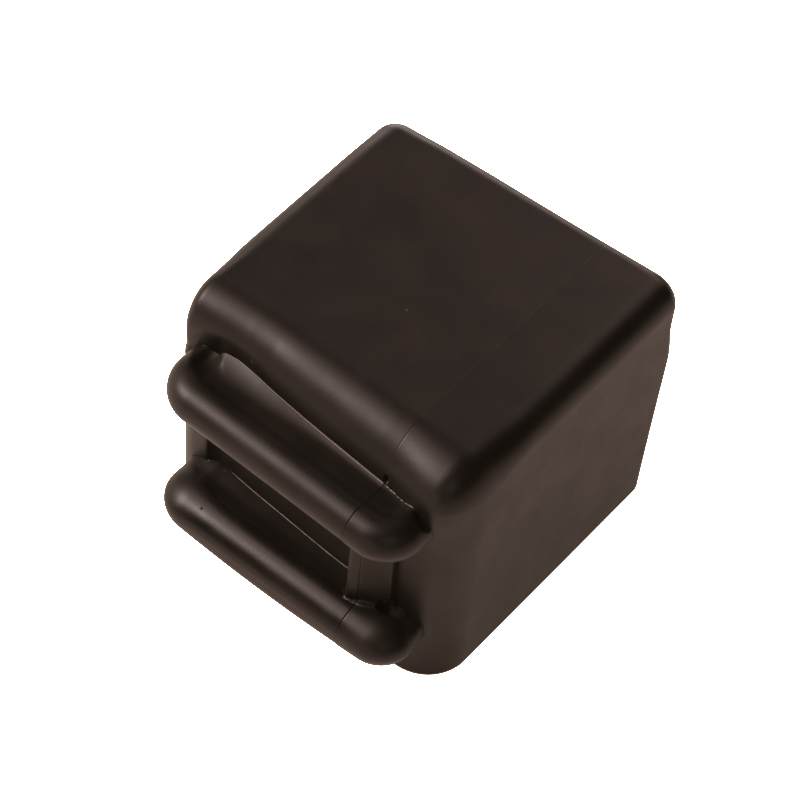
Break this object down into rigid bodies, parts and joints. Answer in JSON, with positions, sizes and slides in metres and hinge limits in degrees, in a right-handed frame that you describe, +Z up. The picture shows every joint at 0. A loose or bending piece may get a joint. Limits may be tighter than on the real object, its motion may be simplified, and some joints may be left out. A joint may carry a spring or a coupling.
{
  "type": "foot cap",
  "caption": "Near-cubic moulded rubber foot cap with rounded edges, a square socket for a leg end, and tongue-like ribs joined by a web on its front face.",
  "frame": {"origin": "centre of the square socket, in the plane of the mouth rim that the cap stands on", "axes": "+Z up from the mouth rim to the closed sole, along the leg; +X along the ribs, towards the end with the web; -Y out of the ribbed front face"},
  "size_m": [0.05, 0.0581, 0.0456],
  "materials": {
    "rubber": "satin moulded rubber, dark brown-black"
  },
  "bodies": {
    "root": {"foot_cap": "rubber"}
  },
  "joints": []
}
